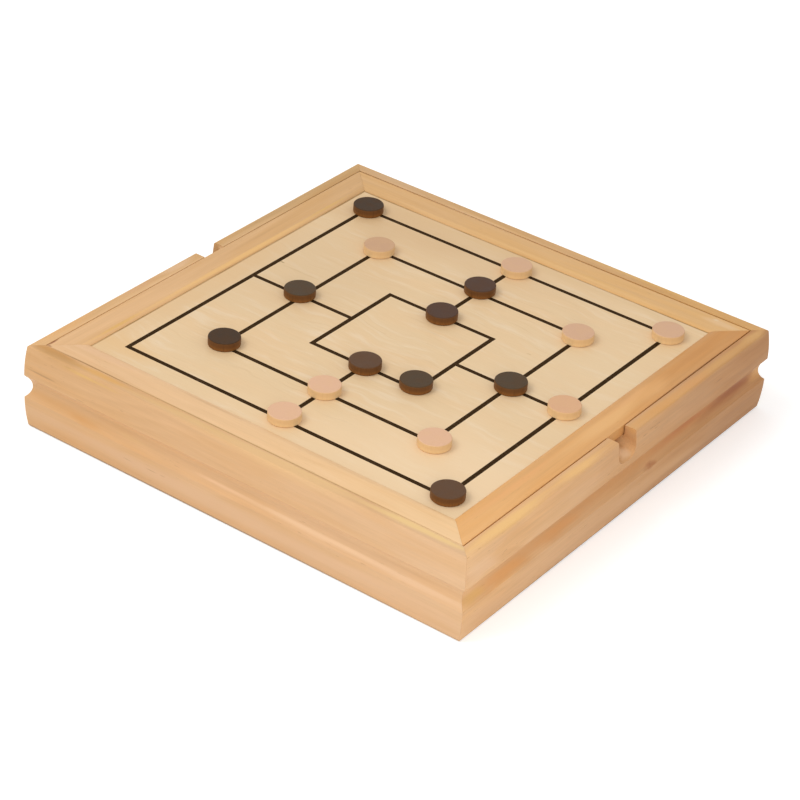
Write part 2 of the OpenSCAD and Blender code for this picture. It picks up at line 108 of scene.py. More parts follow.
# The counters: the tones of their tops and which of them each one has, the tone of the
# side and of its foot, seeds, the top of the spare ones, and roughness, reflection and
# strength of the pores
COUNTERS = {
    "dark": {
        # The tops differ partly in hue and partly as a painted sheen, brighter on the counters at the
        # front
        "tops": [(0.052, 0.027, 0.012), (0.078, 0.039, 0.024),
                 (0.076, 0.047, 0.024), (0.110, 0.056, 0.029)],
        "top_of_each": (0, 1, 1, 2, 2, 0, 3, 2, 3),
        "side": (0.145, 0.060, 0.019),
        "foot": (0.22, 0.088, 0.022),
        "first_seed": 0,
        "spare_top": 2,
        "spare_seed": 40,
        "finish": (0.45, 0.1, 0.35),
    },
    "light": {
        "tops": [(0.655, 0.397, 0.248), (0.58, 0.345, 0.20),
                 (0.70, 0.40, 0.224), (0.75, 0.453, 0.285)],
        "top_of_each": (0, 0, 1, 0, 2, 3, 3, 3),
        "side": (0.765, 0.50, 0.25),
        "foot": (0.83, 0.56, 0.28),
        "first_seed": 20,
        "spare_top": 0,
        "spare_seed": 41,
        "finish": (0.5, 0.2, 0.10),
    },
}

IVORY = (0.80, 0.74, 0.60)


class Tree:
    """A material's node tree, with a short call for each kind of node used here."""

    def __init__(self, name):
        self.material = bpy.data.materials.new(name)
        self.material.use_nodes = True
        self.tree = self.material.node_tree
        self.tree.nodes.clear()
        coordinates = self.tree.nodes.new("ShaderNodeTexCoord")
        self.place = self.vector("SCALE", coordinates.outputs["Object"], scale=1 / MM)

    def feed(self, socket, value):
        """Links a socket, or sets it to a plain value."""
        if isinstance(value, bpy.types.NodeSocket):
            self.tree.links.new(value, socket)
        else:
            socket.default_value = value

    def math(self, operation, a, b=0.0):
        node = self.tree.nodes.new("ShaderNodeMath")
        node.operation = operation
        self.feed(node.inputs[0], a)
        self.feed(node.inputs[1], b)
        return node.outputs[0]

    def times(self, a, b):
        return self.math("MULTIPLY", a, b)

    def vector(self, operation, a, b=None, scale=None):
        node = self.tree.nodes.new("ShaderNodeVectorMath")
        node.operation = operation
        self.feed(node.inputs[0], a)
        if b is not None:
            self.feed(node.inputs[1], b)
        if scale is not None:
            self.feed(node.inputs["Scale"], scale)
        return node.outputs["Value" if operation == "LENGTH" else "Vector"]

    def split(self, vector):
        node = self.tree.nodes.new("ShaderNodeSeparateXYZ")
        self.feed(node.inputs[0], vector)
        return node.outputs

    def join(self, x, y, z):
        node = self.tree.nodes.new("ShaderNodeCombineXYZ")
        for socket, value in zip(node.inputs, (x, y, z)):
            self.feed(socket, value)
        return node.outputs[0]

    def noise(self, vector, size, detail=2.0, rough=0.5):
        """Noise whose blobs are about size millimetres long along each axis."""
        node = self.tree.nodes.new("ShaderNodeTexNoise")
        spread = self.vector("MULTIPLY", vector, tuple(1 / s for s in size))
        self.feed(node.inputs["Vector"], spread)
        node.inputs["Scale"].default_value = 1.0
        node.inputs["Detail"].default_value = detail
        node.inputs["Roughness"].default_value = rough
        return node.outputs["Fac"]

    def rise(self, value, low, high, to_low=0.0, to_high=1.0):
        """A smooth step from to_low, at low, to to_high, at high."""
        node = self.tree.nodes.new("ShaderNodeMapRange")
        node.interpolation_type = "SMOOTHSTEP"
        self.feed(node.inputs["Value"], value)
        self.feed(node.inputs["From Min"], low)
        self.feed(node.inputs["From Max"], high)
        self.feed(node.inputs["To Min"], to_low)
        self.feed(node.inputs["To Max"], to_high)
        return node.outputs["Result"]

    def mix(self, factor, a, b, blend="MIX"):
        node = self.tree.nodes.new("ShaderNodeMix")
        node.data_type = "RGBA"
        node.blend_type = blend
        self.feed(node.inputs[0], factor)
        self.feed(node.inputs[MIX_A], colour(a))
        self.feed(node.inputs[MIX_B], colour(b))
        return node.outputs[MIX_RESULT]

    def tint(self, factor, base, tone):
        """Base multiplied with tone, as far as factor says."""
        return self.mix(factor, base, tone, "MULTIPLY")

    def shade(self, base, noise, reach):
        """Base made darker and lighter by up to reach, with a noise."""
        level = self.rise(noise, 0.25, 0.75, 1.0 - reach, 1.0 + reach)
        return self.tint(1.0, base, self.join(level, level, level))

    def facing(self, axis):
        """How squarely the surface lies across an axis, from 0 to 1."""
        geometry = self.tree.nodes.new("ShaderNodeNewGeometry")
        return self.math("ABSOLUTE", self.split(geometry.outputs["Normal"])[axis])

    def bump(self, height, distance):
        node = self.tree.nodes.new("ShaderNodeBump")
        node.inputs["Distance"].default_value = distance * MM
        self.feed(node.inputs["Height"], height)
        return node.outputs["Normal"]

    def finish(self, base, roughness, bump, coat=0.0, coat_roughness=0.2, level=0.5):
        shader = self.tree.nodes.new("ShaderNodeBsdfPrincipled")
        self.feed(shader.inputs["Base Color"], colour(base))
        self.feed(shader.inputs["Roughness"], roughness)
        self.feed(shader.inputs["Normal"], bump)
        shader.inputs["Coat Weight"].default_value = coat
        shader.inputs["Coat Roughness"].default_value = coat_roughness
        shader.inputs["Specular IOR Level"].default_value = level
        output = self.tree.nodes.new("ShaderNodeOutputMaterial")
        self.tree.links.new(shader.outputs[0], output.inputs[0])
        return self.material


def colour(value):
    """A colour of three numbers gets its alpha; a socket stays as it is."""
    if isinstance(value, tuple) and len(value) == 3:
        return (*value, 1.0)
    return value


def blend_tones(a, b, share):
    return tuple(x + (y - x) * share for x, y in zip(a, b))


def share_of(tone, main):
    """What main is multiplied with to give tone."""
    return tuple(t / m for t, m in zip(tone, main))


def grain_space(tree, grain, seed):
    """The place in millimetres with x along the grain, moved on for each seed."""
    x, y, z = tree.split(tree.place)
    turned = {"x": (x, y, z), "y": (y, x, z)}[grain]
    return tree.vector("ADD", tree.join(*turned), tuple(seed * step for step in PLANK_STEP))


def add_marks(tree, base, marks, grain):
    """Knots, stains and streaks: each a soft ellipse with its own tone and a ragged edge.

    A mark is (place, (length along the grain, width across it), strength, tone)."""
    for place, (length, width), strength, tone in marks:
        stretch = {"x": (length, width, width), "y": (width, length, width)}[grain]
        offset = tree.vector("SUBTRACT", tree.place, place)
        shrunk = tree.vector("DIVIDE", offset, tuple(s / 2 for s in stretch))
        ragged = tree.noise(offset, tuple(s * 0.45 + 0.4 for s in stretch), 3.0)
        reach = tree.math("ADD", tree.vector("LENGTH", shrunk), ragged)
        inside = tree.rise(reach, 0.75, 1.6, strength, 0.0)
        base = tree.mix(inside, base, tone)
    return base


def wood(name, tones, grain="x", seed=0, rings=0.14, ring_w=5.5, fibre=0.03, flecks=0.5,
         marks=(), far_tone=None, roughness=0.5, coat=0.0):
    """Satin timber: tones are its main colour, a deeper one and a warmer one.

    rings, fibre and flecks say how strong the growth rings, the strands and the short
    dark flecks are, and ring_w how wide a ring is. With a far_tone the plank turns to
    that colour towards its back or right end."""
    main, deep, warm = tones
    tree = Tree(name)
    place = grain_space(tree, grain, seed)
    axis = "xyz".index(grain)
    base = main
    # Tone towards the far end, partly a painted fall of light along the plank
    if far_tone is not None:
        end = 1.15 * box_half
        base = tree.mix(tree.rise(tree.split(tree.place)[axis], -end, end), main, far_tone)

    # Warm and pale patches, drawn out along the grain
    patches = tree.noise(place, (80, 11, 11), 3.0)
    base = tree.tint(tree.rise(patches, 0.40, 0.64, 0.0, 0.7), base, share_of(warm, main))
    pale = tree.noise(tree.vector("ADD", place, PALE_STEP), (46, 6, 6), 2.0)
    base = tree.tint(tree.rise(pale, 0.48, 0.70, 0.0, 0.5), base, (1.06, 1.07, 1.10))

    # Growth rings round a pith outside the plank, wavy and faded in places
    drift = tree.noise(place, (150, 50, 50), 2.0)
    _, across, up = tree.split(place)
    across = tree.math("ADD", across, PITH_ACROSS)
    up = tree.math("ADD", up, PITH_UP)
    from_pith = tree.join(0.0, across, up)
    radius = tree.math("ADD", tree.vector("LENGTH", from_pith), tree.times(drift, 26.0))
    ring = tree.math("FRACT", tree.math("DIVIDE", radius, ring_w))
    late = tree.times(tree.rise(ring, 0.1, 0.8), tree.rise(ring, 1.0, 0.8))
    fading = tree.rise(tree.noise(place, (70, 20, 20), 1.0), 0.40, 0.62)
    late = tree.times(late, fading)
    base = tree.tint(tree.times(late, rings), base, share_of(deep, main))

    # Fine strands, and short dark flecks that come in groups
    strands = tree.noise(place, (30, 0.9, 0.9), 3.0, 0.6)
    base = tree.shade(base, strands, fibre)
    groups = tree.rise(tree.noise(place, (60, 25, 25), 1.0), 0.45, 0.6)
    specks = tree.rise(tree.noise(place, (6.5, 0.55, 0.55), 1.0), 0.70, 0.76)
    fleck = tree.times(specks, groups)
    base = tree.mix(tree.times(fleck, flecks), base, blend_tones(deep, BLACK, 0.35))

    # Darker end grain with pores where the surface cuts across the plank
    pores = tree.rise(tree.noise(place, (4.0, 0.5, 0.5), 2.0), 0.35, 0.70, 0.45, 0.85)
    end_grain = tree.times(pores, tree.rise(tree.facing(axis), 0.80, 0.97))
    base = tree.tint(end_grain, base, share_of(blend_tones(main, deep, 0.45), main))
    base = add_marks(tree, base, marks, grain)

    rough = tree.rise(patches, 0.3, 0.7, roughness - 0.05, roughness + 0.05)
    relief = tree.math("ADD", strands, tree.times(fleck, -2.0))
    return tree.finish(base, rough, tree.bump(relief, 0.012), coat, 0.22, TIMBER_LEVEL)


def plywood(name, tones, seed=0, marks=(), border=False):
    """Birch plywood: a smooth pale face with wavy silky figure, and plies on its edges.

    With a border a thin brown line follows the mouldings at the left and the back."""
    main, deep, warm = tones
    tree = Tree(name)
    place = grain_space(tree, "x", seed)
    waver = tree.noise(place, (55, 55, 55), 2.0)
    x, y, z = tree.split(place)
    wavy = tree.join(x, tree.math("ADD", y, tree.times(waver, 26.0)), z)
    patches = tree.noise(wavy, (85, 17, 40), 3.0)
    base = tree.mix(tree.rise(patches, 0.36, 0.66, 0.0, 0.75), main, warm)

    # Pale silk, thin dark veins, fine strands and pores
    silk = tree.noise(wavy, (34, 4.5, 10), 3.0, 0.6)
    silk_tone = blend_tones(main, (1, 0.95, 0.86), 0.35)
    base = tree.mix(tree.rise(silk, 0.50, 0.72, 0.0, 0.38), base, silk_tone)
    veins = tree.noise(wavy, (48, 1.3, 10), 3.0, 0.6)
    base = tree.mix(tree.rise(veins, 0.58, 0.76, 0.0, 0.28), base, deep)
    strands = tree.noise(place, (12, 0.35, 5), 2.0)
    base = tree.shade(base, strands, 0.025)
    pores = tree.noise(place, (2.6, 0.4, 5), 1.0)
    base = tree.mix(tree.rise(pores, 0.72, 0.80, 0.0, 0.25), base, deep)

    # Plies on the edges, every second one dark
    layer = tree.math("FRACT", tree.math("DIVIDE", tree.split(tree.place)[2], PLY_T))
    dark_ply = tree.rise(layer, 0.40, 0.60)
    end_grain = tree.noise(tree.place, (0.5, 0.5, 0.4), 1.0)
    edge = tree.mix(tree.rise(end_grain, 0.4, 0.7, 0.2, 0.8), main, deep)
    edge = tree.mix(dark_ply, edge, blend_tones(deep, (0.2, 0.1, 0.05), 0.3))
    base = tree.mix(tree.rise(tree.facing(2), 0.8, 0.5), base, edge)
    base = add_marks(tree, base, marks, "x")
    # Painted shade in the crease along the mouldings at the left and the back
    if border:
        x, y, z = tree.split(tree.place)
        from_left = tree.math("SUBTRACT", x, panel_middle.x - PANEL_SEEN)
        from_back = tree.math("SUBTRACT", panel_middle.y + PANEL_SEEN, y)
        inside = tree.math("MINIMUM", from_left, from_back)
        on_top = tree.rise(z, panel_top - 0.3, panel_top - 0.1)
        line = tree.times(tree.rise(inside, 1.2, 0.3), on_top)
        broken = tree.rise(tree.noise(tree.place, (30, 30, 30), 2.0), 0.35, 0.6, 0.5, 0.95)
        base = tree.mix(tree.times(line, broken), base, (0.38, 0.22, 0.08))

    rough = tree.rise(patches, 0.3, 0.7, 0.44, 0.52)
    return tree.finish(base, rough, tree.bump(strands, 0.008), level=TIMBER_LEVEL)


def turned_wood(name, top, side, foot, seed, roughness, level, speckle):
    """A turned counter: end grain on its flat faces and long grain round its side.

    Its side turns from the tone side to the tone foot downwards."""
    tree = Tree(name)
    place = tree.vector("ADD", tree.place, tuple(seed * step for step in COUNTER_STEP))
    pores = tree.noise(place, (0.45, 0.45, 3.0), 2.0)
    cloud = tree.noise(place, (7, 7, 7), 2.0)
    specks = tree.rise(pores, 0.55, 0.72, 0.0, speckle)
    face = tree.mix(specks, top, blend_tones(top, BLACK, 0.5))
    face = tree.mix(tree.rise(cloud, 0.35, 0.65, 0.0, 0.12), face, side)

    strands = tree.noise(place, (0.7, 0.7, 9.0), 2.0)
    height = tree.math("SUBTRACT", tree.split(tree.place)[2], panel_top)
    low = tree.rise(height, 0.15 * counter_t, 0.65 * counter_t, 1.0, 0.0)
    wall = tree.mix(low, side, foot)
    streaks = tree.rise(strands, 0.45, 0.7, 0.0, speckle)
    wall = tree.mix(streaks, wall, blend_tones(side, BLACK, 0.4))
    base = tree.mix(tree.rise(tree.facing(2), 0.35, 0.85), wall, face)
    rough = tree.rise(cloud, 0.3, 0.7, roughness - 0.05, roughness + 0.05)
    return tree.finish(base, rough, tree.bump(pores, 0.01), level=level)


def ink(name, tone):
    """Printed dark line: nearly even, a little worn and thin along the grain."""
    tree = Tree(name)
    thin = tree.noise(tree.place, (9, 0.8, 4), 3.0)
    worn = blend_tones(tone, (0.35, 0.2, 0.1), 0.3)
    base = tree.mix(tree.rise(thin, 0.5, 0.8, 0.0, 0.5), tone, worn)
    return tree.finish(base, 0.6, tree.bump(thin, 0.006), level=0.02)


def plastic(name, tone, roughness, coat):
    """Moulded material with a faint mottle."""
    tree = Tree(name)
    mottle = tree.noise(tree.place, (5, 5, 5), 3.0)
    aged = blend_tones(tone, (0.5, 0.38, 0.2), 0.25)
    base = tree.mix(tree.rise(mottle, 0.35, 0.7, 0.0, 0.35), tone, aged)
    rough = tree.rise(mottle, 0.3, 0.7, roughness - 0.05, roughness + 0.08)
    return tree.finish(base, rough, tree.bump(mottle, 0.01), coat, 0.15)


def smooth_shading_group():
    """Geometry nodes that shade smooth and keep the edges above the hard angle."""
    group = bpy.data.node_groups.new("smooth_by_angle", "GeometryNodeTree")
    group.interface.new_socket("Geometry", in_out="INPUT", socket_type="NodeSocketGeometry")
    group.interface.new_socket("Geometry", in_out="OUTPUT", socket_type="NodeSocketGeometry")
    add = group.nodes.new
    start = add("NodeGroupInput")
    smooth = add("GeometryNodeSetShadeSmooth")
    smooth.domain = "FACE"
    sharp = add("GeometryNodeSetShadeSmooth")
    sharp.domain = "EDGE"
    sharp.inputs["Shade Smooth"].default_value = False
    angle = add("GeometryNodeInputMeshEdgeAngle")
    compare = add("FunctionNodeCompare")
    compare.data_type = "FLOAT"
    compare.operation = "GREATER_THAN"
    compare.inputs[1].default_value = HARD_ANGLE
    end = add("NodeGroupOutput")
    link = group.links.new
    link(start.outputs[0], smooth.inputs["Geometry"])
    link(smooth.outputs[0], sharp.inputs["Geometry"])
    link(angle.outputs["Unsigned Angle"], compare.inputs[0])
    link(compare.outputs[0], sharp.inputs["Selection"])
    link(sharp.outputs[0], end.inputs[0])
    return group


SMOOTH = smooth_shading_group()


def ease_edges(piece, width):
    """Welds split corners, rounds hard edges by width and shades the rest smooth."""
    weld = piece.modifiers.new("weld", "WELD")
    weld.merge_threshold = WELD_GAP * MM
    if width:
        flat = piece.modifiers.new("flat", "DECIMATE")
        flat.decimate_type = "DISSOLVE"
        flat.angle_limit = FLAT_ANGLE
        bevel = piece.modifiers.new("bevel", "BEVEL")
        bevel.width = width * MM
        bevel.segments = 2
        bevel.limit_method = "ANGLE"
        bevel.angle_limit = HARD_ANGLE
        bevel.use_clamp_overlap = True
    smooth = piece.modifiers.new("smooth", "NODES")
    smooth.node_group = SMOOTH
    weighted = piece.modifiers.new("weighted", "WEIGHTED_NORMAL")
    weighted.keep_sharp = True


def dress(node, material, width=0.0):
    """Gives a CAD node its material and eases its edges."""
    piece = nodes[node]
    for slot in piece.material_slots:
        slot.material = material
    ease_edges(piece, width)


def resin_dashes(face, places):
    """Short dark resin dashes on the wall whose outer face lies at y = face."""
    return [((x, face, z), (length, DASH_W), strength, DASH_TONE)
            for x, z, length, strength in places]


def dress_walls():
    """Four walls. Their marks give the faces, the groove (z near 24) and the rim (z near
    52) the tones that the photograph shows, and then the knots and small stains. Some of
    them are painted light: a lightened upper groove and a highlight on its lower lip at
    the front, shade in the groove on the right, part of the rim's yellow, lightened faces
    above the board's gaps and in the right notch, and a contact shadow along the foot."""
    # Yellow of the rim, partly wood tone and partly a painted highlight on its rounded edge
    gold_and_highlight = (0.80, 0.53, 0.20)
    # Painted highlight along the lower lip of the front groove
    lip_highlight = (0.75, 0.495, 0.30)
    outer = -box_half
    front = wood(
        "front_wall_wood", ((0.68, 0.40, 0.19), (0.50, 0.27, 0.11), (0.67, 0.375, 0.16)), "x", 1,
        flecks=0.35, far_tone=(0.695, 0.44, 0.245),
        marks=[
            # Painted light: the groove's upper half, which lies in shade, is lightened
            ((-60, -146, 31), (300, 9), 0.9, (0.79, 0.475, 0.235)),
            ((90, -146, 31), (260, 9), 0.8, (0.80, 0.52, 0.29)),
            ((-120, -146, 22), (80, 8), 0.6, (0.62, 0.335, 0.13)),
            ((0, outer, 10), (420, 16), 0.7, (0.725, 0.465, 0.27)),
            # Painted contact shadow along the foot
            ((0, -147, 0), *FOOT_SHADOW),
            # Painted highlight along the groove's lower lip
            ((112, -147, 21.5), (110, 4.2), 0.8, lip_highlight),
            ((50, -147, 22), (110, 3.6), 0.85, (0.79, 0.52, 0.31)),
            ((-10, -147, 22.5), (60, 3.0), 0.8, (0.79, 0.50, 0.29)),
            # Rim marks: amber patches, and yellow ones that are partly wood tone and partly a painted
            # highlight on the rounded rim
            ((-132, -143, 52), (44, 8), 0.85, (0.56, 0.27, 0.07)),
            ((-98, -143.5, 52), (50, 6), 0.85, (0.71, 0.38, 0.11)),
            ((-104, outer, 50.2), (66, 4), 0.7, (0.74, 0.46, 0.14)),
            ((-30, -144, 52), (120, 7), 0.35, gold_and_highlight),
            ((40, -142.6, 52), (90, 3.6), 0.6, (0.85, 0.57, 0.24)),
            ((114, -143, 52), (90, 6.5), 0.75, (0.86, 0.59, 0.25)),
            ((30, -145, 52), (140, 10), 0.9, (0.765, 0.485, 0.23)),
            ((-126, -145, 51.8), (44, 9), 0.6, (0.52, 0.28, 0.095)),
            ((-107.8, outer, 21.7), (34, 7), 0.5, (0.63, 0.31, 0.10)),
            ((-90, outer, 23.5), (26, 5), 0.4, (0.66, 0.35, 0.13)),
            ((-112.9, outer, 23.4), (5, 1.6), 0.8, (0.20, 0.09, 0.04)),
            ((-136, outer, 38.3), (26, 1.6), 0.5, (0.34, 0.19, 0.09)),
            ((-71.6, outer, 24.8), (44, 8), 0.35, (0.74, 0.48, 0.19)),
            ((-141, outer, 24.0), (20, 5), 0.5, (0.68, 0.40, 0.12)),
            # Painted highlight on the groove's lower lip
            ((-23, outer, 21.1), (16, 2.4), 0.5, lip_highlight),
        ] + resin_dashes(outer, [
            (-132, 24.7, 6, 0.5), (-108, 34.0, 8, 0.35), (-78, 40.4, 4, 0.35), (-42, 43.2, 12, 0.45),
            (-25, 43.6, 5, 0.35), (-43, 27.2, 16, 0.4), (-32, 30.3, 5, 0.3), (-74, 11.3, 9, 0.4),
            (-57, 11.7, 11, 0.5), (-48.7, 11.9, 5, 0.35), (42, 42.9, 4, 0.5), (102, 44.9, 5, 0.35),
            (-20, 50.0, 5, 0.3),
        ]))
    right = wood(
        "right_wall_wood", ((0.785, 0.475, 0.237), (0.56, 0.28, 0.11), (0.77, 0.44, 0.195)), "y", 2,
        # far_tone darkens the wall towards the back, partly a painted fall of light
        rings=0.22, fibre=0.05, flecks=0.5, far_tone=(0.50, 0.25, 0.102),
        marks=[
            ((148.8, -136, 39), (40, 14), 0.5, (0.82, 0.54, 0.33)),
            ((148.8, 20, 9), (160, 14), 0.5, (0.72, 0.43, 0.215)),
            # Painted contact shadow along the foot
            ((147, 0, 0), *FOOT_SHADOW),
            ((148.8, -130, 9), (50, 14), 0.5, (0.72, 0.42, 0.21)),
            ((148.8, -60, 38), (90, 5), 0.4, (0.70, 0.42, 0.20)),
            # Painted shade in the groove: a darker, warmer band, deepest towards the back
            ((144, 0, 26), (480, 14), 0.85, (0.585, 0.275, 0.09)),
            ((144, 112, 25.5), (90, 12), 0.85, (0.33, 0.105, 0.035)),
            ((144, 62, 27), (80, 10), 0.65, (0.49, 0.165, 0.055)),
            # Painted light in the notch, which lies in shade
            ((145, 1, 39), (12, 8), 0.8, (0.80, 0.52, 0.30)),
            ((145, 40, 52), (230, 8), 0.6, (0.70, 0.37, 0.12)),
            ((144, 144, 26), (24, 14), 0.9, (0.70, 0.37, 0.13)),
            # Painted shade along the groove's lower edge
            ((145, 112, 19.8), (46, 3), 0.5, (0.33, 0.12, 0.05)),
            ((148.8, 27.0, 20.6), (14, 5.2), 0.75, (0.42, 0.15, 0.055)),
            ((148.8, 27.5, 21.0), (5.5, 2.8), 0.95, (0.20, 0.075, 0.035)),
            # Painted shade with warm bounce along the groove's lower lip
            ((147, -110, 22.5), (50, 9), 0.7, (0.72, 0.33, 0.10)),
            ((147, -62, 23.5), (50, 8), 0.65, (0.68, 0.31, 0.10)),
            ((147, -138, 23), (26, 8), 0.6, (0.74, 0.42, 0.12)),
            # Yellow on the rim, partly wood tone and partly a painted highlight on its rounded edge
            ((145, -112, 51.8), (100, 8), 0.85, (0.84, 0.515, 0.20)),
            ((145, -45, 51.8), (60, 7), 0.6, (0.84, 0.50, 0.18)),
            ((145, 35, 51.8), (50, 7), 0.8, (0.67, 0.335, 0.11)),
            ((145, 70, 51.8), (44, 7), 0.6, (0.66, 0.31, 0.11)),
            ((145, 134, 51.8), (34, 8), 0.8, (0.66, 0.375, 0.14)),
            ((145, 105, 51.8), (90, 7), 0.6, (0.62, 0.34, 0.12)),
            ((148.8, 93, 43.9), (9, 1.4), 0.45, (0.30, 0.15, 0.08)),
        ])
    back = wood(
        "back_wall_wood", ((0.62, 0.37, 0.17), (0.46, 0.25, 0.1), (0.64, 0.365, 0.14)), "x", 3,
        rings=0.2, far_tone=(0.64, 0.365, 0.145),
        marks=[
            ((-60, 145, 51.8), (110, 6), 0.4, (0.58, 0.35, 0.15)),
            ((-118, 145, 51.8), (60, 7), 0.5, (0.63, 0.42, 0.235)),
            ((70, 146, 51.8), (130, 5), 0.5, (0.70, 0.43, 0.14)),
            ((100, 147, 51), (30, 4), 0.5, (0.74, 0.36, 0.15)),
            # Painted light on the shaded inner face above the board's gap
            ((-50, 140.6, 49), (220, 8), 0.85, (0.96, 0.70, 0.44)),
            ((20, 148.8, 24), (90, 9), 0.5, (0.58, 0.30, 0.11)),
            ((-96, 148.8, 36), (10, 4), 0.6, (0.40, 0.18, 0.08)),
        ])
    left = wood(
        "left_wall_wood", ((0.735, 0.44, 0.20), (0.50, 0.27, 0.11), (0.70, 0.395, 0.165)), "y", 4,
        rings=0.2, far_tone=(0.575, 0.345, 0.14),
        marks=[
            ((-145, -120, 51.8), (60, 7), 0.5, (0.78, 0.42, 0.16)),
            ((-145, -60, 51.8), (40, 6), 0.4, (0.66, 0.36, 0.19)),
            ((-145, 60, 51.8), (120, 4), 0.4, (0.50, 0.30, 0.13)),
            ((-145, -28, 51.8), (40, 7), 0.7, (0.77, 0.50, 0.29)),
            # Painted light on the shaded inner face above the board's gap
            ((-140.6, 0, 49), (300, 8), 0.7, (0.90, 0.62, 0.36)),
            ((-148.8, 40, 24), (110, 9), 0.5, (0.60, 0.31, 0.11)),
            ((-148.8, -84, 14), (9, 4), 0.6, (0.42, 0.19, 0.08)),
        ])
    for node, material in (("front_wall", front), ("right_wall", right),
                           ("back_wall", back), ("left_wall", left)):
        dress(node, material, PLANK_EDGE)


def dress_trays():
    """The bottom and the dividers of the box."""
    base = plywood("base_plywood", ((0.70, 0.50, 0.28), (0.50, 0.30, 0.14), (0.74, 0.52, 0.3)), 9)
    dress("base_panel", base)
    dividers = wood(
        "divider_wood", ((0.70, 0.46, 0.24), (0.48, 0.27, 0.12), (0.72, 0.46, 0.22)), "y", 5)
    for node in ("left_divider", "right_divider", "cross_divider"):
        dress(node, dividers, DIVIDER_EDGE)


